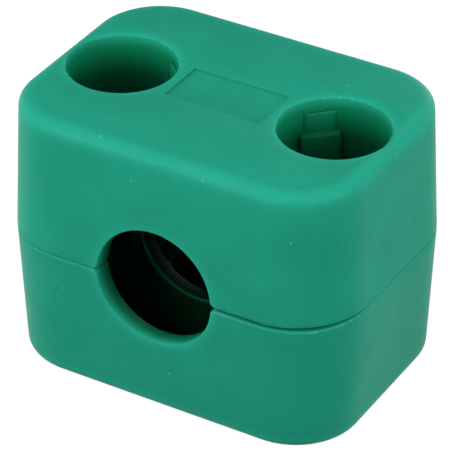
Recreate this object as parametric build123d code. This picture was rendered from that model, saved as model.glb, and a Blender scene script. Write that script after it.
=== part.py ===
"""Two-piece moulded clamp for one hydraulic tube.

Two identical polypropylene mouldings meet face to face at the tube's centre line.
Each one is a drafted block with a half-round tube seat carried on four thin walls,
cored pockets between those walls, and two bolt holes.  Each bolt hole opens into a
wide recess for the bolt's head, and the recess has two stepped noses on its inner side.

Lengths are in millimetres.  X runs across the tube, Y along it and Z up from the base.
The origin is the centre of the base face.  One half is modelled standing on its parting
face, with its outer face up, and is then placed twice.
"""
from build123d import *
import os

# The block
body_length = 41.8           # across the tube, at the parting face
body_width = 30.5            # along the tube, at the parting face
half_height = 15.85          # from the parting face to the outer face of one half
draft_angle = 2.6            # degrees, every side leans in from the parting face
corner_radius = 8.3          # upright corners, at the parting face
crown_radius = 1.3           # rounding round the outer face
seam_bevel = 0.18            # bevel round the parting face, seen as the seam

# The tube seat
tube_diameter = 14.0
seat_mouth_bevel = 0.35      # bevel where the seat meets the front and back
seat_split_bevel = 0.45      # bevel where the seat meets the parting face

# The pockets between the seat's walls, cored from the parting face
end_wall = 2.4               # seat wall at the front and at the back
inner_wall = 2.05            # each of the two seat walls in between
middle_pocket_length = 8.2   # along the tube
pocket_depth = 12.8
outer_pocket_width = 16.4
middle_mouth_width = 15.6
middle_mouth_depth = 5.0
middle_neck_width = 10.4     # above the mouth, where the head recesses come close
pocket_corner_radius = 1.0   # upright corners

# The bolt holes and their head recesses
bolt_spacing = 26.0
bolt_hole_diameter = 6.8     # clearance for an M6 bolt
recess_diameter = 12.24      # room for an M6 head and its washer
recess_depth = 9.0           # from the outer face
recess_mouth_bevel = 0.2

# The stepped noses on each recess wall
nose_angle = 46.0            # degrees either side of the line between the bolts
nose_edge_radius = 0.3
upper_step_depth = 1.5       # from the outer face down to the step's top
upper_step_width = 3.7
upper_step_height = 0.42     # how far it stands out of the recess wall
lower_step_depth = 3.9
lower_step_width = 4.7
lower_step_height = 1.0

# The bare panel between the bolts
panel_length = 11.6
panel_width = 6.35
panel_depth = 0.3

overrun = 2.0                # how far a cutting tool runs past the face it opens

tube_radius = tube_diameter / 2
recess_radius = recess_diameter / 2
recess_floor = half_height - recess_depth
outer_pocket_length = (body_width - middle_pocket_length) / 2 - inner_wall - end_wall
outer_pocket_centre = middle_pocket_length / 2 + inner_wall + outer_pocket_length / 2


def drafted_block():
    """The outer form: drafted sides, a rounded crown and a bevelled parting face."""
    outline = RectangleRounded(body_length, body_width, corner_radius)
    block = extrude(outline, amount=half_height, taper=draft_angle)
    block = fillet(block.faces().sort_by(Axis.Z)[-1].outer_wire().edges(), crown_radius)
    block = chamfer(block.faces().sort_by(Axis.Z)[0].outer_wire().edges(), seam_bevel)
    right_side = split(block, Plane.YZ)
    return right_side + mirror(right_side, Plane.YZ)


def with_tube_seat(block):
    """The block with its half-round seat, bevelled at the mouths and at the split."""
    reach = body_width / 2 + overrun
    seated = block - Rot(90, 0, 0) * Cylinder(tube_radius, 2 * reach)
    arches = seated.faces().filter_by(GeomType.CYLINDER).sort_by(SortBy.AREA)[-1].edges()
    mouths = [edge for edge in arches if edge.bounding_box().size.X > tube_radius]
    seated = chamfer(mouths, seat_mouth_bevel)
    side = seat_split_bevel * 2 ** 0.5
    for x in (-tube_radius, tube_radius):
        seated -= Pos(x, 0, 0) * Rot(0, 45, 0) * Box(side, 2 * reach, side)
    return seated


def cored_pocket(width, length, depth):
    """A core that pulls out through the parting face, with rounded uprights."""
    core = Pos(0, 0, (depth - overrun) / 2) * Box(width, length, depth + overrun)
    return fillet(core.edges().filter_by(Axis.Z), pocket_corner_radius)


def pocket_cores():
    """The three cores that leave the seat standing on four walls."""
    middle = cored_pocket(middle_mouth_width, middle_pocket_length, middle_mouth_depth)
    middle += cored_pocket(middle_neck_width, middle_pocket_length, pocket_depth)
    outer = cored_pocket(outer_pocket_width, outer_pocket_length, pocket_depth)
    return [middle, Pos(0, outer_pocket_centre, 0) * outer, Pos(0, -outer_pocket_centre, 0) * outer]


def nose_step(width, height, top):
    """One step of a nose, from the recess floor up, for a recess on the Z axis."""
    foot = recess_floor - overrun
    reach = recess_radius - height
    step = Pos((reach + recess_radius + overrun) / 2, 0, (foot + top) / 2) * Box(
        recess_radius + overrun - reach, width, top - foot
    )
    inner_face = step.faces().sort_by(Axis.X)[0]
    exposed = [edge for edge in inner_face.edges() if edge.center().Z > foot]
    return fillet(exposed, nose_edge_radius)


def bolt_core():
    """The tool for one bolt hole on the Z axis, whose inner side faces +X."""
    hole = Cylinder(bolt_hole_diameter / 2, 2 * (half_height + overrun))
    on_floor = (Align.CENTER, Align.CENTER, Align.MIN)
    room = Pos(0, 0, recess_floor) * Cylinder(recess_radius, recess_depth + overrun, align=on_floor)
    nose = nose_step(upper_step_width, upper_step_height, half_height - upper_step_depth)
    nose += nose_step(lower_step_width, lower_step_height, half_height - lower_step_depth)
    for angle in (nose_angle, -nose_angle):
        room -= Rot(0, 0, angle) * nose
    mouth_height = overrun + recess_mouth_bevel
    mouth = Cone(recess_radius, recess_radius + mouth_height, mouth_height, align=on_floor)
    return room + hole + Pos(0, 0, half_height - recess_mouth_bevel) * mouth


def moulded_half():
    """One half, standing on its parting face."""
    half = with_tube_seat(drafted_block())
    for core in pocket_cores():
        half -= core
    half -= Pos(-bolt_spacing / 2, 0, 0) * bolt_core()
    half -= Pos(bolt_spacing / 2, 0, 0) * Rot(0, 0, 180) * bolt_core()
    return half - Pos(0, 0, half_height) * Box(panel_length, panel_width, 2 * panel_depth)


half = moulded_half()
seated = Pos(0, 0, half_height)
os.makedirs("parts", exist_ok=True)
export_step(seated * half, "parts/upper_half.step")
export_step(seated * Rot(180, 0, 0) * half, "parts/lower_half.step")
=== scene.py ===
"""Looks for a moulded clamp that holds one hydraulic tube.

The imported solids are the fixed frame.  Each half gives way to a finer mesh, built again
from the moulding's sizes, with softened edges and a procedural satin polypropylene.
"""
import math
import random

import bmesh
import bpy
from mathutils import Matrix, Quaternion, Vector


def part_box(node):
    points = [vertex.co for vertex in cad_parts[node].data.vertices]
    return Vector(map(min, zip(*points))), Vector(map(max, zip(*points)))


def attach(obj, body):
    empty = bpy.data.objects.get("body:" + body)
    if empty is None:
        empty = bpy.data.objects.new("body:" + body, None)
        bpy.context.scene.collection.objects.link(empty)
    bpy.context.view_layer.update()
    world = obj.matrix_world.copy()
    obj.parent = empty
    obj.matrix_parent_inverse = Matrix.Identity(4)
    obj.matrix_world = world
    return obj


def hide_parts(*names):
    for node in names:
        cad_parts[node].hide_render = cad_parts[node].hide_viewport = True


bl_info = {
    "name": "Hydraulic Tube Clamp",
    "version": (1, 0, 0),
    "blender": (4, 5, 0),
    "location": "3D View > Sidebar > Tube Clamp",
    "description": "Dresses a moulded two-piece tube clamp and sets its stage",
    "category": "Object",
}

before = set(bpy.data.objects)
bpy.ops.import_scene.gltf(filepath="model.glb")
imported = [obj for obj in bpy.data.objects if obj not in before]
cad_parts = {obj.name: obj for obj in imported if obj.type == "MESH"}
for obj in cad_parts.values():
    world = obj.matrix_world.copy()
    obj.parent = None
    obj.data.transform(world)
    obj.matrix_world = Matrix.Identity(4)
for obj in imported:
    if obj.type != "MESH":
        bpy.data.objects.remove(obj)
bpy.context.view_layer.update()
MM = 0.001
LOWEST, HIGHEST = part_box("lower_half")[0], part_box("upper_half")[1]
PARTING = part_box("upper_half")[0].z
CENTRE = (LOWEST + HIGHEST) / 2


# ---------------------------------------------------------------- sizes and colours

class ClampPlasticSettings(bpy.types.PropertyGroup):
    """The moulded plastic's colours and finish."""
    tone: bpy.props.FloatVectorProperty(
        name="Green", description="Main colour of the plastic", subtype="COLOR", size=3,
        min=0.0, max=1.0, default=(0.013, 0.302, 0.2))
    deep_tone: bpy.props.FloatVectorProperty(
        name="Deep green", description="Darker tone of the cloudy variation", subtype="COLOR",
        size=3, min=0.0, max=1.0, default=(0.011, 0.27, 0.177))
    flash_tone: bpy.props.FloatVectorProperty(
        name="Flash tone", description="Colour of the thin flash", subtype="COLOR", size=3,
        min=0.0, max=1.0, default=(0.1, 0.5, 0.36))
    roughness: bpy.props.FloatProperty(
        name="Roughness", description="Roughness of the satin surface", default=0.42, min=0.0, max=1.0)
    glow_depth: bpy.props.FloatProperty(
        name="Glow depth", description="How far light travels in the plastic", default=0.0011,
        min=0.0, unit="LENGTH")


def length(name, description, default_mm):
    """A length setting, given in millimetres."""
    return bpy.props.FloatProperty(
        name=name, description=description, default=default_mm * MM, min=0.0, unit="LENGTH",
        precision=5)


class ClampFormSettings(bpy.types.PropertyGroup):
    """Sizes of one moulding, standing on its parting face."""
    body_length: length("Body length", "Across the tube, at the parting face", 41.8)
    body_width: length("Body width", "Along the tube, at the parting face", 30.5)
    half_height: length("Half height", "Parting face to outer face", 15.85)
    draft: bpy.props.FloatProperty(
        name="Draft", description="Lean of every side", default=math.radians(2.6), subtype="ANGLE")
    corner_radius: length("Corner radius", "Upright corners at the parting face", 8.3)
    crown_radius: length("Crown radius", "Rounding round the outer face", 1.3)
    seam_bevel: length("Seam bevel", "Bevel round the parting face", 0.18)
    tube_radius: length("Tube radius", "Radius of the tube seat", 7.0)
    seat_drop: length("Seat drop", "Seat's centre past the parting face, to grip a tube", 0.15)
    split_bevel: length("Split bevel", "Bevel where the seat meets the parting face", 0.45)
    end_wall: length("End wall", "Seat wall at the front and the back", 2.4)
    inner_wall: length("Inner wall", "Seat walls between the pockets", 2.05)
    middle_pocket: length("Middle pocket", "Length of the middle pocket along the tube", 8.2)
    pocket_depth: length("Pocket depth", "Depth of the pockets", 12.8)
    outer_pocket_width: length("Outer pocket width", "Width of the end pockets", 16.4)
    middle_mouth_width: length("Middle mouth width", "Width of the middle pocket's mouth", 15.6)
    middle_mouth_depth: length("Middle mouth depth", "Depth of the middle pocket's mouth", 5.0)
    middle_neck_width: length("Middle neck width", "Width of the middle pocket above its mouth", 10.4)
    pocket_corner: length("Pocket corner", "Upright corners of the pockets", 1.0)
    bolt_spacing: length("Bolt spacing", "Between the bolt axes", 26.0)
    hole_radius: length("Hole radius", "Radius of the bolt holes", 3.4)
    recess_radius: length("Recess radius", "Radius of the head recesses", 6.12)
    recess_depth: length("Recess depth", "Depth of the head recesses", 9.0)
    nose_angle: bpy.props.FloatProperty(
        name="Nose angle", description="Either side of the line between the bolts",
        default=math.radians(46.0), subtype="ANGLE")
    upper_step: bpy.props.FloatVectorProperty(
        name="Upper step", description="Depth of its top, width and height", size=3, unit="LENGTH",
        default=(1.5 * MM, 3.7 * MM, 0.42 * MM))
    lower_step: bpy.props.FloatVectorProperty(
        name="Lower step", description="Depth of its top, width and height", size=3, unit="LENGTH",
        default=(3.9 * MM, 4.7 * MM, 1.0 * MM))
    panel_length: length("Panel length", "Length of the bare panel", 11.6)
    panel_width: length("Panel width", "Width of the bare panel", 6.35)
    panel_depth: length("Panel depth", "Depth of the bare panel", 0.3)


class ClampDetailSettings(bpy.types.PropertyGroup):
    """Small moulded details."""
    mouth_round: length("Mouth round", "Rounding of the seat's mouths", 0.08)
    recess_round: length("Recess round", "Rounding of the recess mouths", 0.14)
    panel_round: length("Panel round", "Rounding of the bare panel's edges", 0.14)
    edge_round: length("Edge round", "Rounding of the other moulded edges", 0.09)
    nose_round: length("Nose round", "Rounding of the noses", 0.45)
    seam_gap: length("Seam gap", "Widest opening of the seam", 0.46)
    speck_size: length("Flash speck", "Half the length of a sliver of flash", 0.26)


class ClampStageSettings(bpy.types.PropertyGroup):
    """Camera, lamps and floor."""
    azimuth: bpy.props.FloatProperty(
        name="Azimuth", description="Camera turn from the front", default=math.radians(30.715),
        subtype="ANGLE")
    elevation: bpy.props.FloatProperty(
        name="Elevation", description="Camera height above the level", default=math.radians(33.397),
        subtype="ANGLE")
    distance: bpy.props.FloatProperty(
        name="Distance", description="Camera to the clamp's centre", default=0.33994, unit="LENGTH")
    lens: bpy.props.FloatProperty(
        name="Lens", description="Focal length in millimetres", default=251.4)
    lamp_power: bpy.props.FloatProperty(
        name="Lamp power", description="Scales the power of every lamp", default=0.95)
    sky_strength: bpy.props.FloatProperty(
        name="Sky strength", description="Strength of the even light", default=0.28)


# ---------------------------------------------------------------- shader building

VECTOR, COLOR, FLOAT = "NodeSocketVector", "NodeSocketColor", "NodeSocketFloat"


class NodeTree:
    """Short names for making and joining shader nodes."""

    def __init__(self, tree):
        self.tree = tree

    def add(self, kind, **values):
        node = self.tree.nodes.new(kind)
        for name, value in values.items():
            setattr(node, name, value)
        return node

    def join(self, source, target):
        self.tree.links.new(source, target)

    def feed(self, socket, value):
        """Give a socket a number, or join it to another socket."""
        if isinstance(value, (int, float)):
            socket.default_value = value
        else:
            self.join(value, socket)

    def math(self, operation, *values):
        node = self.add("ShaderNodeMath", operation=operation)
        for socket, value in zip(node.inputs, values):
            self.feed(socket, value)
        return node.outputs[0]

    def plus(self, a, b):
        return self.math("ADD", a, b)

    def minus(self, a, b):
        return self.math("SUBTRACT", a, b)

    def larger(self, a, b):
        return self.math("MAXIMUM", a, b)

    def unsigned(self, a):
        return self.math("ABSOLUTE", a)

    def product(self, first, *others):
        for other in others:
            first = self.math("MULTIPLY", first, other)
        return first

    def hypot(self, a, b):
        return self.math("SQRT", self.plus(self.product(a, a), self.product(b, b)))

    def noise(self, vector, scale, detail=2.0, roughness=0.5):
        node = self.add("ShaderNodeTexNoise")
        node.inputs["Detail"].default_value = detail
        node.inputs["Roughness"].default_value = roughness
        self.feed(node.inputs["Scale"], scale)
        self.join(vector, node.inputs["Vector"])
        return node.outputs["Fac"]

    def ramp(self, factor, start, end, low=0.0, high=1.0):
        """A smooth change from low to high while the factor goes from start to end."""
        node = self.add("ShaderNodeMapRange", interpolation_type="SMOOTHSTEP")
        for name, value in (("From Min", start), ("From Max", end),
                            ("To Min", low), ("To Max", high)):
            node.inputs[name].default_value = value
        self.join(factor, node.inputs["Value"])
        return node.outputs[0]

    def mix_color(self, factor, a, b):
        node = self.add("ShaderNodeMix", data_type="RGBA")
        for name, value in (("Factor", factor), ("A", a), ("B", b)):
            self.join(value, node.inputs[name])
        return node.outputs["Result"]

    def bump(self, height, distance, below=None):
        """The normals of a bump at full strength, over the normals of another one."""
        node = self.add("ShaderNodeBump")
        node.inputs["Strength"].default_value = 1.0
        node.inputs["Distance"].default_value = distance
        self.join(height, node.inputs["Height"])
        if below is not None:
            self.join(below, node.inputs["Normal"])
        return node.outputs["Normal"]


def new_group(name, inputs, outputs):
    """The nodes of a new shader node group, and the sockets at its two ends."""
    group = bpy.data.node_groups.new(name, "ShaderNodeTree")
    for socket_name, kind, value in inputs:
        socket = group.interface.new_socket(socket_name, in_out="INPUT", socket_type=kind)
        if value is not None:
            socket.default_value = value
    for socket_name, kind in outputs:
        group.interface.new_socket(socket_name, in_out="OUTPUT", socket_type=kind)
    nodes = NodeTree(group)
    return nodes, nodes.add("NodeGroupInput").outputs, nodes.add("NodeGroupOutput").inputs


NOISE_MIDDLE = 0.5
CLOUD_EDGES = (0.35, 0.65)         # where the slow noise turns from one tone to the other
CLOUD_SHARES = (0.2, 0.8)          # least and most of the deep tone
STREAK_STRETCH = (1.0, 1.0, 0.4)   # streaks run upright


def cloudy_tone_group():
    """Slow, cloudy change between two tones of plastic, with a fine mottle."""
    nodes, given, result = new_group(
        "cloudy_tone",
        [("Vector", VECTOR, None), ("Tone", COLOR, None), ("Deep Tone", COLOR, None),
         ("Cloud Scale", FLOAT, 130.0), ("Mottle Scale", FLOAT, 5500.0),
         ("Mottle Amount", FLOAT, 2.4)],
        [("Color", COLOR)])
    slow = nodes.noise(given["Vector"], given["Cloud Scale"], detail=3.0, roughness=0.55)
    fine = nodes.noise(given["Vector"], given["Mottle Scale"], detail=1.0)
    mottle = nodes.product(nodes.minus(fine, NOISE_MIDDLE), given["Mottle Amount"])
    share = nodes.plus(nodes.ramp(slow, *CLOUD_EDGES, *CLOUD_SHARES), mottle)
    nodes.join(nodes.mix_color(share, given["Tone"], given["Deep Tone"]), result["Color"])


def sink_waves_group():
    """Shallow waves and upright sink streaks that cooling leaves on a moulding."""
    nodes, given, result = new_group(
        "sink_waves",
        [("Vector", VECTOR, None), ("Wave Scale", FLOAT, 120.0), ("Streak Scale", FLOAT, 170.0),
         ("Streak Depth", FLOAT, 0.5)],
        [("Height", FLOAT)])
    waves = nodes.noise(given["Vector"], given["Wave Scale"], detail=1.0, roughness=0.4)
    stretch = nodes.add("ShaderNodeVectorMath", operation="MULTIPLY")
    stretch.inputs[1].default_value = STREAK_STRETCH
    nodes.join(given["Vector"], stretch.inputs[0])
    streaks = nodes.noise(stretch.outputs[0], given["Streak Scale"])
    nodes.join(nodes.plus(waves, nodes.product(streaks, given["Streak Depth"])), result["Height"])


def fine_grain_group():
    """The skin of a moulding: a fine grain, and patches that are a little duller."""
    nodes, given, result = new_group(
        "fine_grain",
        [("Vector", VECTOR, None), ("Grain Scale", FLOAT, 9000.0), ("Patch Scale", FLOAT, 260.0),
         ("Roughness", FLOAT, 0.4), ("Roughness Spread", FLOAT, 0.1)],
        [("Height", FLOAT), ("Roughness", FLOAT)])
    nodes.join(nodes.noise(given["Vector"], given["Grain Scale"], roughness=0.6), result["Height"])
    patches = nodes.noise(given["Vector"], given["Patch Scale"], detail=4.0, roughness=0.6)
    spread = nodes.product(nodes.minus(patches, NOISE_MIDDLE), given["Roughness Spread"])
    nodes.join(nodes.plus(spread, given["Roughness"]), result["Roughness"])


def dust_group():
    """A few tiny pale specks of dust."""
    nodes, given, result = new_group(
        "dust_specks",
        [("Vector", VECTOR, None), ("Color", COLOR, None),
         ("Dust Color", COLOR, (0.62, 0.72, 0.68, 1.0)), ("Speck Scale", FLOAT, 700.0),
         ("Speck Radius", FLOAT, 0.05), ("Amount", FLOAT, 0.12), ("Cover", FLOAT, 0.7)],
        [("Color", COLOR)])
    cells = nodes.add("ShaderNodeTexVoronoi", feature="F1")
    nodes.join(given["Vector"], cells.inputs["Vector"])
    nodes.join(given["Speck Scale"], cells.inputs["Scale"])
    cell_random = nodes.add("ShaderNodeSeparateColor")
    nodes.join(cells.outputs["Color"], cell_random.inputs["Color"])
    chosen = nodes.math("LESS_THAN", cell_random.outputs[0], given["Amount"])
    spot = nodes.math("LESS_THAN", cells.outputs["Distance"], given["Speck Radius"])
    share = nodes.product(chosen, spot, given["Cover"])
    nodes.join(nodes.mix_color(share, given["Color"], given["Dust Color"]), result["Color"])


def moulding_place(nodes, vector):
    """How far a point is from the clamp's middle: across the tube, along it and up or down."""
    parts = nodes.add("ShaderNodeSeparateXYZ")
    nodes.join(vector, parts.inputs["Vector"])
    height = nodes.minus(parts.outputs["Z"], PARTING)
    return [nodes.unsigned(way) for way in (parts.outputs["X"], parts.outputs["Y"], height)]


def from_axes(nodes, form, x, y, z):
    """How far a place is from the nearer bolt's axis and from the seat's."""
    from_bolt = nodes.hypot(nodes.minus(x, form.bolt_spacing / 2), y)
    return from_bolt, nodes.hypot(x, nodes.plus(z, form.seat_drop))


def past(mark, fade):
    """The start and the end of a fade that is counted from a mark."""
    return (mark + step for step in fade)


# Fades of the painted shade and the painted light: where each starts and where it ends, counted from
# what it is named for.
LIT_EDGE_FADE = (0.08 * MM, 0.3 * MM)          # from the first inner wall's edge
SEAT_SIDE_FADE = (0.4 * MM, 0.3 * MM)          # from the sides of the outer pockets
SEAT_DEPTH_FADE = (0.7 * MM, 0.4 * MM)         # from the depth of the pockets
RECESS_FADE = (0.15 * MM, 0.05 * MM)           # from the wall of a recess
NOSE_FADE = (-0.12 * MM, -0.4 * MM)
PANEL_FADE = (0.2 * MM, 0.1 * MM)              # from the edge of the panel
PANEL_BORDER_FADE = (0.16 * MM, 0.05 * MM)
PANEL_DEPTH_FADE = (-0.02 * MM, -0.08 * MM)    # from the outer face
ABOVE_POCKETS_FADE = (0.0, 0.8 * MM)
CROWN_FADE = (2.1 * MM, 0.8 * MM)              # from the crown's edge
OPENING_FADE = (1.3 * MM, 0.0)                 # from the wall of a recess or of the seat
OUTER_FACE_FADE = (0.4 * MM, 0.1 * MM)
END_FACE_FADE = (-1.2 * MM, -0.6 * MM)
NOSE_SHARE = 0.88                              # of the recess's painted shade, on a nose
PANEL_SHARES = (0.1, 0.55)                     # of the mouth's painted shade: the panel's floor a little darker, and a painted shadow line on its border
LIT_EDGE_SHARE = 0.55                          # of the deep painted shade, on the inner wall's edge, which is left lighter as a painted highlight


def painted_cavity_shade_group(form):
    """Painted shade, greener and then deeper, down in the seat, its pockets and the head recesses."""
    nodes, given, result = new_group(
        "painted_cavity_shade",
        [("Vector", VECTOR, None), ("Color", COLOR, None),
         ("Mouth Shade Color", COLOR, (0.003, 0.185, 0.08, 1.0)),
         ("Deep Shade Color", COLOR, (0.0, 0.05, 0.018, 1.0)),
         ("Inside Shade Color", COLOR, (0.0, 0.012, 0.005, 1.0)), ("Amount", FLOAT, 0.95)],
        [("Color", COLOR)])
    x, y, z = moulding_place(nodes, given["Vector"])
    from_bolt, from_seat = from_axes(nodes, form, x, y, z)
    rim, top = form.recess_radius, form.half_height
    lean = nodes.product(z, math.tan(form.draft))
    inward = nodes.minus(nodes.minus(form.body_width / 2, y), lean)
    inner_edge = form.body_width / 2 - form.middle_pocket / 2 - form.inner_wall
    off_edge = nodes.larger(nodes.unsigned(nodes.minus(inward, inner_edge)),
                            nodes.unsigned(nodes.minus(from_seat, form.tube_radius)))
    # The inner wall's edge keeps less of the painted shade: a painted highlight.
    lit_edge = nodes.ramp(off_edge, *LIT_EDGE_FADE)
    in_seat = nodes.product(nodes.ramp(x, *past(form.outer_pocket_width / 2, SEAT_SIDE_FADE)),
                            nodes.ramp(z, *past(form.pocket_depth, SEAT_DEPTH_FADE)),
                            nodes.ramp(from_bolt, *past(rim, reversed(RECESS_FADE))))
    in_recess = nodes.product(nodes.ramp(from_bolt, *past(rim, RECESS_FADE)),
                              nodes.ramp(from_bolt, *past(rim, NOSE_FADE), 1.0, NOSE_SHARE))
    # A painted shadow line round the bare panel's edge, and its floor a little darker.
    from_panel = nodes.larger(nodes.minus(x, form.panel_length / 2),
                              nodes.minus(y, form.panel_width / 2))
    border = nodes.ramp(nodes.unsigned(from_panel), *PANEL_BORDER_FADE, *PANEL_SHARES)
    sunk = nodes.product(nodes.ramp(z, *past(top, PANEL_DEPTH_FADE)), border)
    in_panel = nodes.product(nodes.ramp(from_panel, *PANEL_FADE), sunk,
                             nodes.ramp(z, *past(form.pocket_depth, ABOVE_POCKETS_FADE)))
    # Each painted shade: where it starts and is full, in from an end face and down from the outer
    # face, and how much of it shows on the inner wall's edge, which is left lighter as a painted
    # highlight.
    stages = (("Mouth Shade Color", (0.15 * MM, 1.4 * MM), (0.1 * MM, 1.5 * MM), 1.0),
              ("Deep Shade Color", (0.8 * MM, 2.8 * MM), (0.4 * MM, 5.5 * MM),
               nodes.larger(lit_edge, LIT_EDGE_SHARE)),
              ("Inside Shade Color", (2.2 * MM, 3.0 * MM), (7.0 * MM, 9.2 * MM), lit_edge))
    color = given["Color"]
    for name, inward_ends, down_ends, share in stages:
        down = nodes.ramp(z, *(top - depth for depth in down_ends))
        mask = nodes.larger(nodes.product(in_seat, nodes.ramp(inward, *inward_ends), share),
                            nodes.product(in_recess, down))
        if name == "Mouth Shade Color":
            mask = nodes.larger(mask, in_panel)
        color = nodes.mix_color(nodes.product(mask, given["Amount"]), color, given[name])
    nodes.join(color, result["Color"])


def painted_edge_light_group(form):
    """Painted light: a lighter, milky colour at the crown and round the openings, for the light the
    crown catches and that comes through the thin plastic there.
    """
    nodes, given, result = new_group(
        "painted_edge_light",
        [("Vector", VECTOR, None), ("Color", COLOR, None),
         ("Painted Light Color", COLOR, (0.035, 0.56, 0.40, 1.0)), ("Crown Amount", FLOAT, 0.16),
         ("Rim Amount", FLOAT, 0.16)],
        [("Color", COLOR)])
    x, y, z = moulding_place(nodes, given["Vector"])
    from_bolt, from_seat = from_axes(nodes, form, x, y, z)
    below = nodes.minus(form.half_height, z)
    radius = form.corner_radius - form.half_height * math.tan(form.draft)
    over_x = nodes.minus(x, form.body_length / 2 - form.corner_radius)
    over_y = nodes.minus(y, form.body_width / 2 - form.corner_radius)
    outside = nodes.hypot(nodes.larger(over_x, 0.0), nodes.larger(over_y, 0.0))
    within = nodes.math("MINIMUM", nodes.larger(over_x, over_y), 0.0)
    inset = nodes.larger(nodes.minus(radius, nodes.plus(outside, within)), 0.0)
    crown = nodes.product(nodes.ramp(nodes.plus(below, inset), *CROWN_FADE), given["Crown Amount"])
    recess_rim = nodes.product(nodes.ramp(from_bolt, *past(form.recess_radius, OPENING_FADE)),
                               nodes.ramp(below, *OUTER_FACE_FADE))
    seat_rim = nodes.product(nodes.ramp(from_seat, *past(form.tube_radius, OPENING_FADE)),
                             nodes.ramp(y, *past(form.body_width / 2, END_FACE_FADE)))
    rims = nodes.product(nodes.larger(recess_rim, seat_rim), given["Rim Amount"])
    painted_light = nodes.mix_color(nodes.larger(crown, rims), given["Color"], given["Painted Light Color"])
    nodes.join(painted_light, result["Color"])


def place_group(nodes, name, vector, **values):
    """A group placed in a material, with its own values by socket name."""
    node = nodes.add("ShaderNodeGroup", node_tree=bpy.data.node_groups[name])
    nodes.join(vector, node.inputs["Vector"])
    for socket_name, value in values.items():
        node.inputs[socket_name.replace("_", " ").title()].default_value = value
    return node


WAVE_HEIGHT = 0.24 * MM
GRAIN_HEIGHT = 0.01 * MM


def clamp_plastic(name, offset, settings, tone_color=None):
    """Satin, slightly translucent polypropylene.  Offset moves the pattern between mouldings."""
    material = bpy.data.materials.new(name)
    material.use_nodes = True
    nodes = NodeTree(material.node_tree)
    shader = material.node_tree.nodes["Principled BSDF"]
    for socket_name, value in (("IOR", 1.49), ("Specular IOR Level", 0.045),
                               ("Subsurface Weight", 0.45), ("Subsurface Radius", (0.25, 1.0, 0.75)),
                               ("Subsurface Scale", settings.glow_depth)):
        shader.inputs[socket_name].default_value = value
    mapping = nodes.add("ShaderNodeMapping")
    mapping.inputs["Location"].default_value = offset
    on_piece = nodes.add("ShaderNodeTexCoord").outputs["Object"]
    nodes.join(on_piece, mapping.inputs["Vector"])
    vector = mapping.outputs["Vector"]

    tone = place_group(nodes, "cloudy_tone", vector, tone=(*(tone_color or settings.tone), 1.0),
                       deep_tone=(*(tone_color or settings.deep_tone), 1.0))
    color = tone.outputs["Color"]
    # Over the plastic's own tone: painted light on the crown and round the openings, painted shade
    # down in the seat, pockets and recesses, then specks of dust.
    for group_name, spot in (("painted_edge_light", on_piece), ("painted_cavity_shade", on_piece),
                             ("dust_specks", vector)):
        layer = place_group(nodes, group_name, spot)
        nodes.join(color, layer.inputs["Color"])
        color = layer.outputs["Color"]
    nodes.join(color, shader.inputs["Base Color"])

    waves = place_group(nodes, "sink_waves", vector)
    grain = place_group(nodes, "fine_grain", vector, roughness=settings.roughness)
    nodes.join(grain.outputs["Roughness"], shader.inputs["Roughness"])
    slow_bump = nodes.bump(waves.outputs["Height"], WAVE_HEIGHT)
    fine_bump = nodes.bump(grain.outputs["Height"], GRAIN_HEIGHT, slow_bump)
    nodes.join(fine_bump, shader.inputs["Normal"])
    return material


# ---------------------------------------------------------------- the two mouldings

CORNER_STEPS = 18          # facets round an upright corner
SIDE_RUNS = (20, 12)       # runs along the outline's straight sides
CROWN_STEPS = 7
BORE_STEPS, RECESS_STEPS, HOLE_STEPS = 200, 160, 96
SIDE_LEVELS = tuple(height * MM for height in (0.9, 2.2, 4.2, 8.0, 12.0))
TOOL_CORNER_STEPS = 8
TOOL_END_STEPS = 5
LEAST_CORNER = 0.02 * MM
OVERRUN = 2.0 * MM         # how far a tool reaches past the faces that it cuts
WEDGE_LIFT = 0.004 * MM    # keeps a wedge's edge off the parting face
OUTER_POCKET_ROUND = 0.6 * MM
MIDDLE_POCKET_ROUND = 0.4 * MM
NOSE_LENGTH = 4 * MM
NOSE_ROUND_SHARE = 0.8     # most of a step's height that its rounding takes
SOFT_SEGMENTS = 4


def rounded_outline(length_x, length_y, radius, runs=SIDE_RUNS, corner_steps=CORNER_STEPS):
    """Points round a rounded rectangle, with its straight sides cut into runs."""
    half_x, half_y = length_x / 2 - radius, length_y / 2 - radius
    corners = ((half_x, half_y), (-half_x, half_y), (-half_x, -half_y), (half_x, -half_y))
    points = []
    for quarter, (x, y) in enumerate(corners):
        turns = [(quarter + k / corner_steps) * math.pi / 2 for k in range(corner_steps + 1)]
        points += [(x + radius * math.cos(turn), y + radius * math.sin(turn)) for turn in turns]
        next_x, next_y = corners[(quarter + 1) % 4]
        start = Vector(points[-1])
        end = Vector((next_x + radius * math.cos(turns[-1]), next_y + radius * math.sin(turns[-1])))
        count = runs[quarter % 2]
        points += [tuple(start.lerp(end, k / count)) for k in range(1, count)]
    return points


def stacked_mesh(name, levels):
    """A closed solid from outlines of equal count, stacked as (points, height)."""
    form = bmesh.new()
    rings = [[form.verts.new((x, y, height)) for x, y in points] for points, height in levels]
    for lower, upper in zip(rings, rings[1:]):
        for k in range(len(lower)):
            form.faces.new((lower[k - 1], lower[k], upper[k], upper[k - 1]))
    form.faces.new(reversed(rings[0]))
    form.faces.new(rings[-1])
    mesh = bpy.data.meshes.new(name)
    form.to_mesh(mesh)
    form.free()
    return mesh


def new_object(name, data):
    item = bpy.data.objects.new(name, data)
    bpy.context.scene.collection.objects.link(item)
    return item


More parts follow.
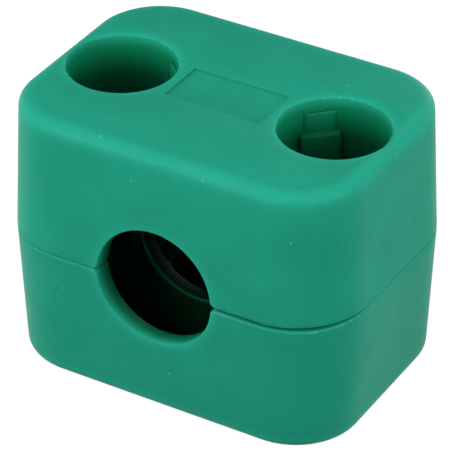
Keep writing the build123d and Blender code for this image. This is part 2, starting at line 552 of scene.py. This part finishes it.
def drafted_block(form):
    """The outer form: seam bevel, drafted sides and rounded crown."""
    lean = math.tan(form.draft)

    def level(inset, height):
        return (rounded_outline(form.body_length - 2 * inset, form.body_width - 2 * inset,
                                form.corner_radius - inset), height)

    crown_z = form.half_height - form.crown_radius
    crown_inset = crown_z * lean + form.crown_radius / math.cos(form.draft)
    levels = [level(form.seam_bevel * (1 + lean), 0.0)]
    levels += [level(z * lean, z) for z in (form.seam_bevel, *SIDE_LEVELS)]
    for k in range(CROWN_STEPS + 1):
        turn = form.draft + (math.pi / 2 - form.draft) * k / CROWN_STEPS
        levels.append(level(crown_inset - form.crown_radius * math.cos(turn),
                            crown_z + form.crown_radius * math.sin(turn)))
    return new_object("block", stacked_mesh("block", levels))


def round_tool(radius, low, high, steps):
    """A cylinder on the Z axis between two heights."""
    turns = [math.tau * (k + 0.5) / steps for k in range(steps)]
    circle = [(radius * math.cos(turn), radius * math.sin(turn)) for turn in turns]
    return new_object("round_tool", stacked_mesh("round_tool", [(circle, low), (circle, high)]))


def box_tool(length_x, length_y, low, high, corner=0.0, end_round=0.0):
    """A box on the Z axis with rounded uprights and a rounded upper end."""
    if not corner:
        x, y = length_x / 2, length_y / 2
        return new_object("box_tool", stacked_mesh("box_tool", [
            ([(x, y), (-x, y), (-x, -y), (x, -y)], z) for z in (low, high)]))
    levels = [(0.0, low), (0.0, high - end_round)]
    for k in range(1, TOOL_END_STEPS + 1):
        turn = math.pi / 2 * k / TOOL_END_STEPS
        levels.append((end_round * (1 - math.cos(turn)), high - end_round * (1 - math.sin(turn))))
    return new_object("box_tool", stacked_mesh("box_tool", [
        (rounded_outline(length_x - 2 * inset, length_y - 2 * inset,
                         max(corner - inset, LEAST_CORNER), (1, 1), TOOL_CORNER_STEPS), z)
        for inset, z in levels]))


def place(piece, matrix):
    piece.data.transform(matrix)
    return piece


def cut(piece, tool):
    """Cut a tool away from a piece, and drop the tool."""
    modifier = piece.modifiers.new("cut", "BOOLEAN")
    modifier.operation, modifier.solver, modifier.object = "DIFFERENCE", "EXACT", tool
    apply_modifiers(piece)
    old = tool.data
    bpy.data.objects.remove(tool)
    bpy.data.meshes.remove(old)


def apply_modifiers(piece):
    bpy.context.view_layer.update()
    solved = piece.evaluated_get(bpy.context.evaluated_depsgraph_get())
    settled = bpy.data.meshes.new_from_object(solved)
    piece.modifiers.clear()
    old, piece.data = piece.data, settled
    bpy.data.meshes.remove(old)


def soften_box(piece, radius):
    modifier = piece.modifiers.new("soft", "BEVEL")
    modifier.width, modifier.segments, modifier.limit_method = radius, SOFT_SEGMENTS, "ANGLE"
    apply_modifiers(piece)


def recess_tool(form, detail):
    """The room for one bolt's head, less its two stepped noses, with the inner side at +X."""
    top, floor = form.half_height, form.half_height - form.recess_depth
    room = round_tool(form.recess_radius, floor, top + OVERRUN, RECESS_STEPS)
    for side in (form.nose_angle, -form.nose_angle):
        for depth, width, height in (form.upper_step, form.lower_step):
            step = box_tool(NOSE_LENGTH, width, floor - OVERRUN, top - depth)
            soften_box(step, min(detail.nose_round, height * NOSE_ROUND_SHARE))
            place(step, Matrix.Translation((form.recess_radius - height + NOSE_LENGTH / 2, 0, 0)))
            cut(room, place(step, Matrix.Rotation(side, 4, "Z")))
    return room


def moulded_half(form, detail, name):
    """One half, standing on its parting face."""
    piece = drafted_block(form)
    piece.name = name
    reach = form.body_width / 2 + OVERRUN
    upright = Matrix.Rotation(math.pi / 2, 4, "X")
    bore = Matrix.Translation((0, 0, -form.seat_drop)) @ upright
    seat = round_tool(form.tube_radius, -reach, reach, BORE_STEPS)
    cut(piece, place(seat, bore))
    side = form.split_bevel * math.sqrt(2)
    for x in (-form.tube_radius, form.tube_radius):
        wedge = place(box_tool(side, side, -reach, reach), Matrix.Rotation(math.pi / 4, 4, "Z"))
        cut(piece, place(wedge, Matrix.Translation((x, 0, WEDGE_LIFT)) @ upright))
    depth, corner = form.pocket_depth, form.pocket_corner
    outer_length = (form.body_width - form.middle_pocket) / 2 - form.inner_wall - form.end_wall
    outer_y = form.middle_pocket / 2 + form.inner_wall + outer_length / 2
    for y in (-outer_y, outer_y):
        core = box_tool(form.outer_pocket_width, outer_length, -OVERRUN, depth, corner,
                        OUTER_POCKET_ROUND)
        cut(piece, place(core, Matrix.Translation((0, y, 0))))
    for width, deep in ((form.middle_mouth_width, form.middle_mouth_depth),
                        (form.middle_neck_width, depth)):
        cut(piece, box_tool(width, form.middle_pocket, -OVERRUN, deep, corner, MIDDLE_POCKET_ROUND))
    for x, turn in ((-form.bolt_spacing / 2, 0.0), (form.bolt_spacing / 2, math.pi)):
        spot = Matrix.Translation((x, 0, 0)) @ Matrix.Rotation(turn, 4, "Z")
        cut(piece, place(recess_tool(form, detail), spot))
        hole = round_tool(form.hole_radius, -OVERRUN, form.half_height + OVERRUN, HOLE_STEPS)
        cut(piece, place(hole, spot))
    cut(piece, box_tool(form.panel_length, form.panel_width, form.half_height - form.panel_depth,
                        form.half_height + OVERRUN))
    return piece


WELD_DISTANCE = 0.002 * MM
SHARP_FROM = math.radians(24)       # edges that turn less are left alone
SHADED_SHARP_FROM = math.radians(38)
ON_WALL = 0.03 * MM
END_FACE_BAND = 1.2 * MM            # how far in the seat's mouth is looked for
RECESS_MOUTH_BAND = 1.0 * MM
ABOVE_NOTCH = 0.5 * MM
OFF_PARTING_FACE = 0.02 * MM
EDGE_SEGMENTS = 3


def soften_edges(piece, form, detail):
    """Round the moulded edges, each kind by its own amount."""
    widest = max(detail.mouth_round, detail.recess_round, detail.panel_round, detail.edge_round)
    shape = bmesh.new()
    shape.from_mesh(piece.data)
    bmesh.ops.remove_doubles(shape, verts=shape.verts, dist=WELD_DISTANCE)
    weight = shape.edges.layers.float.new("bevel_weight_edge")
    for edge in shape.edges:
        if len(edge.link_faces) != 2 or edge.calc_face_angle() < SHARP_FROM:
            continue
        middle = (edge.verts[0].co + edge.verts[1].co) / 2
        near_end = abs(middle.y) > form.body_width / 2 - END_FACE_BAND
        below = form.half_height - middle.z
        from_bore = math.hypot(middle.x, middle.z + form.seat_drop) - form.tube_radius
        from_bolt = math.hypot(abs(middle.x) - form.bolt_spacing / 2, middle.y)
        if abs(from_bore) < ON_WALL and near_end and middle.z > ABOVE_NOTCH:
            edge[weight] = detail.mouth_round / widest
        elif abs(from_bolt - form.recess_radius) < ON_WALL and below < RECESS_MOUTH_BAND:
            edge[weight] = detail.recess_round / widest
        elif below < 2 * form.panel_depth and abs(middle.x) < form.panel_length:
            edge[weight] = detail.panel_round / widest
        elif middle.z > OFF_PARTING_FACE:
            edge[weight] = detail.edge_round / widest
    shape.to_mesh(piece.data)
    shape.free()
    modifier = piece.modifiers.new("edges", "BEVEL")
    modifier.width, modifier.segments = widest, EDGE_SEGMENTS
    modifier.limit_method = "WEIGHT"
    modifier.use_clamp_overlap = False
    apply_modifiers(piece)
    piece.data.shade_smooth()
    piece.data.set_sharp_from_angle(angle=SHADED_SHARP_FROM)


def smooth_step(value, low, high):
    part = min(max((value - low) / (high - low), 0.0), 1.0)
    return part * part * (3 - 2 * part)


SEAM_OPENS_FRONT = (4 * MM, 13 * MM)    # where the opening starts and is full, towards the front
SEAM_OPENS_RIGHT = (4 * MM, 7.6 * MM)
SEAM_ALL_ROUND, SEAM_FRONT_RIGHT = 0.12, 0.88    # shares of the opening
SEAM_STEADY, SEAM_RIPPLED = 0.82, 0.18
RIPPLE_X, RIPPLE_Y, RIPPLE_START = 900, 700, 1.3


def seam_opening(x, y):
    """How far the seam stands open round the parting face, from 0 to 1.  Front is -Y."""
    front = smooth_step(-y, *SEAM_OPENS_FRONT)
    right = smooth_step(x, *SEAM_OPENS_RIGHT)
    ripple = math.sin(x * RIPPLE_X + RIPPLE_START) * math.cos(y * RIPPLE_Y)
    opening = SEAM_ALL_ROUND + SEAM_FRONT_RIGHT * front * right
    return opening * (SEAM_STEADY + SEAM_RIPPLED * ripple)


def outline_inset(form, x, y):
    """How far a point lies inside the parting face's outline."""
    over_x = abs(x) - (form.body_length / 2 - form.corner_radius)
    over_y = abs(y) - (form.body_width / 2 - form.corner_radius)
    outside = math.hypot(max(over_x, 0.0), max(over_y, 0.0)) + min(max(over_x, over_y), 0.0)
    return form.corner_radius - outside


SEAM_REACH = 2.4 * MM                  # how far up from the parting face the warp is felt
SEAM_RIM_FADE = (0.4 * MM, 1.2 * MM)   # in from the outline


def open_seam(piece, form, detail, front):
    """Lift the rim of the parting face where the halves have warped apart.

    Front is the sign of Y on the clamp's front in the piece's own frame.
    """
    for vertex in piece.data.vertices:
        x, y, z = vertex.co
        rim = 1 - smooth_step(outline_inset(form, x, y), *SEAM_RIM_FADE)
        if z < SEAM_REACH and rim > 0:
            fade = (1 - z / SEAM_REACH) ** 2
            vertex.co.z += detail.seam_gap / 2 * seam_opening(x, -front * y) * fade * rim


def dress_half(node_name, offset, turn, front):
    """Build one half in its solid's place.  Turn stands it up, and offset moves its pattern."""
    scene = bpy.context.scene
    form, detail = scene.clamp_form, scene.clamp_detail
    piece = moulded_half(form, detail, f"{node_name}_moulding")
    soften_edges(piece, form, detail)
    open_seam(piece, form, detail, front)
    place(piece, Matrix.Translation((0, 0, PARTING)) @ Matrix.Rotation(turn, 4, "X"))
    piece.data.materials.clear()
    piece.data.materials.append(clamp_plastic(f"{node_name}_plastic", offset, scene.clamp_plastic))
    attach(piece, "root")
    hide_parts(node_name)


# Start and end in millimetres along the front of the seam and round its right corner, and
# how many slivers.
FLASH_RUNS = ((-19.5, -14.0, 4), (-9.0, -7.6, 5), (7.5, 9.6, 10), (9.8, 17.0, 5),
              (17.0, 25.0, 9), (27.0, 40.0, 3))
# Side of the recess, start and end in degrees from the right, and how many slivers.
MOUTH_FLASH = ((1, 0, 60, 9), (1, 95, 135, 3), (-1, 35, 80, 5), (-1, 200, 245, 3))
# Least value and spread of what is left to chance.
SLIVER_THICKNESS = (0.035, 0.03)    # in millimetres
SEAM_SLIVER = (0.5, 1.1)            # times the speck size
MOUTH_SLIVER = (0.35, 0.6)
LIP_WANDER = (0.85, 0.2)            # times the lip's height
RUN_WANDER = 0.8                    # of the step to the next sliver
BELT_WANDER = 0.6                   # of a sliver's size, along it
LIP_SHARE = 0.43                    # of the seam's gap, from its middle to a lip
LIP_SIDES = (-1, -1, -1, 1)         # most slivers hang on the lower lip
SEAM_FLASH_INSET = 0.07 * MM
MOUTH_FLASH_DROP = 0.1 * MM
BELT_OUT, BELT_IN = 0.05 * MM, 0.1 * MM
FLASH_SEED = 7


def seam_point(form, along):
    """A point on the seam and its outward way, by distance along from the middle of the front."""
    straight = form.body_length / 2 - form.corner_radius
    quarter = form.corner_radius * math.pi / 2
    side = 1 if along > 0 else -1
    beyond = abs(along) - straight
    if beyond <= 0:
        return Vector((along, -form.body_width / 2, 0)), Vector((0, -1, 0))
    turn = min(beyond, quarter) / form.corner_radius
    out = Vector((side * math.sin(turn), -math.cos(turn), 0))
    centre = Vector((side * straight, -form.body_width / 2 + form.corner_radius, 0))
    return centre + out * form.corner_radius + Vector((0, max(beyond - quarter, 0.0), 0)), out


def vary(chance, least, spread):
    return least + spread * chance.random()


def add_sliver(shape, chance, middle, out, size):
    """One sliver: a spindle along the edge that out points away from, thin across."""
    run = Vector((-out.y, out.x, 0))
    thick = vary(chance, *SLIVER_THICKNESS) * MM
    tips = [middle - run * size, middle + run * size]
    sides = [middle + run * size * (chance.random() - 0.5) * BELT_WANDER + way for way in
             (out * BELT_OUT, Vector((0, 0, thick)), -out * BELT_IN, Vector((0, 0, -thick)))]
    ends = [shape.verts.new(tip) for tip in tips]
    belt = [shape.verts.new(side) for side in sides]
    for j in range(4):
        shape.faces.new((ends[0], belt[j - 1], belt[j]))
        shape.faces.new((ends[1], belt[j], belt[j - 1]))


def moulding_flash(form, detail):
    """Slivers of flash on the seam's lips and at the recess mouths, inside the faces there."""
    chance = random.Random(FLASH_SEED)
    shape = bmesh.new()
    for start, end, count in FLASH_RUNS:
        for k in range(count):
            along = (start + (end - start) * (k + chance.random() * RUN_WANDER) / count) * MM
            spot, out = seam_point(form, along)
            size = detail.speck_size * vary(chance, *SEAM_SLIVER)
            lip = form.seam_bevel + detail.seam_gap * LIP_SHARE * seam_opening(spot.x, spot.y)
            lip *= chance.choice(LIP_SIDES) * vary(chance, *LIP_WANDER)
            middle = spot - out * SEAM_FLASH_INSET + Vector((0, 0, PARTING + lip))
            add_sliver(shape, chance, middle, out, size)
    for side, start, end, count in MOUTH_FLASH:
        for k in range(count):
            turn = math.radians(start + (end - start) * (k + chance.random()) / count)
            out = Vector((math.cos(turn), math.sin(turn), 0))
            axis = Vector((side * form.bolt_spacing / 2, 0, HIGHEST.z - MOUTH_FLASH_DROP))
            size = detail.speck_size * vary(chance, *MOUTH_SLIVER)
            add_sliver(shape, chance, axis + out * form.recess_radius, out, size)
    bmesh.ops.recalc_face_normals(shape, faces=shape.faces)
    mesh = bpy.data.meshes.new("moulding_flash")
    shape.to_mesh(mesh)
    shape.free()
    piece = new_object("moulding_flash", mesh)
    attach(piece, "root")
    return piece


class TUBECLAMP_OT_finishes(bpy.types.Operator):
    """Build the plastic's shared effects"""
    bl_idname = "tubeclamp.finishes"
    bl_label = "Plastic finishes"

    def execute(self, context):
        for build in (cloudy_tone_group, sink_waves_group, fine_grain_group, dust_group):
            build()
        # These two paint shade down in the cavities and light on the crown and round the openings.
        for build in (painted_cavity_shade_group, painted_edge_light_group):
            build(context.scene.clamp_form)
        return {"FINISHED"}


class TUBECLAMP_OT_halves(bpy.types.Operator):
    """Dress the two mouldings"""
    bl_idname = "tubeclamp.halves"
    bl_label = "Clamp halves"

    def execute(self, context):
        dress_half("lower_half", offset=(0.07, 0.03, 0.11), turn=math.pi, front=1)
        dress_half("upper_half", offset=(0.0, 0.0, 0.0), turn=0.0, front=-1)
        return {"FINISHED"}


class TUBECLAMP_OT_flash(bpy.types.Operator):
    """Add the slivers of flash on the seam and at the recess mouths"""
    bl_idname = "tubeclamp.flash"
    bl_label = "Moulding flash"

    def execute(self, context):
        scene = context.scene
        piece = moulding_flash(scene.clamp_form, scene.clamp_detail)
        material = clamp_plastic("flash_plastic", (0.2, 0.1, 0.3), scene.clamp_plastic,
                                 scene.clamp_plastic.flash_tone)
        piece.data.materials.append(material)
        return {"FINISHED"}


# ---------------------------------------------------------------- floor, lamps and camera

WHITE = (1.0, 1.0, 1.0, 1.0)
FLOOR_REACH = 3.0
FLOOR_DROP = 0.00002
FLOOR_GREY = (0.2, 0.2, 0.2, 1.0)    # the light that it throws back
FLOOR_WHITE = 0.88                   # its own light, where it is looked at
LAMP_SIZE = 0.15
LAMP_DISTANCE = 0.22
LAMPS = (   # turn from the front and rise in degrees, and power in watts
    ("front_lamp", -28, 30, 0.42), ("side_lamp", 86, 32, 0.33), ("corner_lamp", 45, 35, 0.04),
    ("top_lamp", 0, 75, 0.02), ("back_lamp", 178, 10, 0.17), ("left_lamp", -96, 8, 0.1))
SENSOR_WIDTH = 36.0
CAMERA_SHIFT = (-0.00423, -0.01002)
CAMERA_LEAN = math.radians(-0.166)
CAMERA_CLIP = (0.01, 20.0)


def blank_nodes(holder):
    """The emptied shader of a material or a world."""
    holder.use_nodes = True
    holder.node_tree.nodes.clear()
    return NodeTree(holder.node_tree)


def looked_at(nodes, *rays):
    """1 for these kinds of ray and 0 for the light that falls on things."""
    path = nodes.add("ShaderNodeLightPath")
    seen = path.outputs[rays[0]]
    for ray in rays[1:]:
        seen = nodes.larger(seen, path.outputs[ray])
    return seen


def pale_floor():
    mesh = bpy.data.meshes.new("floor")
    corners = [(x * FLOOR_REACH, y * FLOOR_REACH, 0) for x, y in ((-1, -1), (1, -1), (1, 1), (-1, 1))]
    mesh.from_pydata(corners, [], [(0, 1, 2, 3)])
    floor = new_object("floor", mesh)
    floor.location.z = LOWEST.z - FLOOR_DROP
    material = bpy.data.materials.new("floor_white")
    nodes = blank_nodes(material)
    seen = looked_at(nodes, "Is Camera Ray", "Is Glossy Ray", "Is Transmission Ray")
    paper = nodes.add("ShaderNodeBsdfDiffuse")
    paper.inputs["Color"].default_value = FLOOR_GREY
    lift = nodes.add("ShaderNodeEmission")
    lift.inputs["Color"].default_value = WHITE
    nodes.join(nodes.product(seen, FLOOR_WHITE), lift.inputs["Strength"])
    both = nodes.add("ShaderNodeAddShader")
    nodes.join(paper.outputs[0], both.inputs[0])
    nodes.join(lift.outputs[0], both.inputs[1])
    nodes.join(both.outputs[0], nodes.add("ShaderNodeOutputMaterial").inputs["Surface"])
    mesh.materials.append(material)


def even_sky(strength):
    """An even light from all round, and a white background where it is looked at."""
    world = bpy.data.worlds.new("studio_sky")
    nodes = blank_nodes(world)
    mix = nodes.add("ShaderNodeMixShader")
    nodes.join(looked_at(nodes, "Is Camera Ray", "Is Transmission Ray"), mix.inputs["Fac"])
    for socket, power in ((mix.inputs[1], strength), (mix.inputs[2], 1.0)):
        light = nodes.add("ShaderNodeBackground")
        light.inputs["Color"].default_value = WHITE
        light.inputs["Strength"].default_value = power
        nodes.join(light.outputs[0], socket)
    nodes.join(mix.outputs[0], nodes.add("ShaderNodeOutputWorld").inputs["Surface"])
    bpy.context.scene.world = world


def direction(turn, rise):
    """The way to something seen at that turn from the front and rise above the level."""
    return Vector((math.sin(turn) * math.cos(rise), -math.cos(turn) * math.cos(rise), math.sin(rise)))


def area_lamp(name, turn, rise, power):
    """A soft square lamp close by that faces the clamp.  Turn and rise are in degrees."""
    data = bpy.data.lights.new(name, "AREA")
    data.size = LAMP_SIZE
    data.energy = power
    away = direction(math.radians(turn), math.radians(rise))
    lamp = new_object(name, data)
    lamp.location = CENTRE + away * LAMP_DISTANCE
    lamp.rotation_euler = away.to_track_quat("Z", "Y").to_euler()


def studio_camera(settings):
    back = direction(settings.azimuth, settings.elevation)
    data = bpy.data.cameras.new("camera")
    data.sensor_width = SENSOR_WIDTH
    data.lens = settings.lens
    data.shift_x, data.shift_y = CAMERA_SHIFT
    data.clip_start, data.clip_end = CAMERA_CLIP
    camera = new_object("camera", data)
    camera.location = CENTRE + back * settings.distance
    lean = Quaternion(back, CAMERA_LEAN)
    camera.rotation_euler = (lean @ back.to_track_quat("Z", "Y")).to_euler()
    bpy.context.scene.camera = camera


class TUBECLAMP_OT_stage(bpy.types.Operator):
    """Set the floor, the lamps and the camera"""
    bl_idname = "tubeclamp.stage"
    bl_label = "Stage"

    def execute(self, context):
        settings = context.scene.clamp_stage
        context.scene.view_settings.view_transform = "Standard"
        pale_floor()
        even_sky(settings.sky_strength)
        for name, turn, rise, power in LAMPS:
            area_lamp(name, turn, rise, power * settings.lamp_power)
        studio_camera(settings)
        return {"FINISHED"}


# ---------------------------------------------------------------- panel and registration

OPERATORS = (TUBECLAMP_OT_finishes, TUBECLAMP_OT_halves, TUBECLAMP_OT_flash, TUBECLAMP_OT_stage)


class TUBECLAMP_PT_panel(bpy.types.Panel):
    """Everything that dresses the clamp"""
    bl_idname = "TUBECLAMP_PT_panel"
    bl_label = "Tube Clamp"
    bl_space_type = "VIEW_3D"
    bl_region_type = "UI"
    bl_category = "Tube Clamp"

    def draw(self, context):
        for operator in OPERATORS:
            self.layout.operator(operator.bl_idname)
        for settings_name in SETTINGS:
            settings = getattr(context.scene, settings_name)
            box = self.layout.box()
            for name in settings.__annotations__:
                box.prop(settings, name)


SETTINGS = {
    "clamp_form": ClampFormSettings,
    "clamp_plastic": ClampPlasticSettings,
    "clamp_detail": ClampDetailSettings,
    "clamp_stage": ClampStageSettings,
}


def register():
    for cls in (*SETTINGS.values(), *OPERATORS, TUBECLAMP_PT_panel):
        bpy.utils.register_class(cls)
    for name, cls in SETTINGS.items():
        setattr(bpy.types.Scene, name, bpy.props.PointerProperty(type=cls))


def unregister():
    for name in SETTINGS:
        delattr(bpy.types.Scene, name)
    for cls in (TUBECLAMP_PT_panel, *reversed(OPERATORS), *SETTINGS.values()):
        bpy.utils.unregister_class(cls)


def main():
    register()
    bpy.ops.tubeclamp.finishes()
    bpy.ops.tubeclamp.halves()
    bpy.ops.tubeclamp.flash()
    bpy.ops.tubeclamp.stage()
    bpy.context.view_layer.update()


if __name__ == "__main__":
    main()
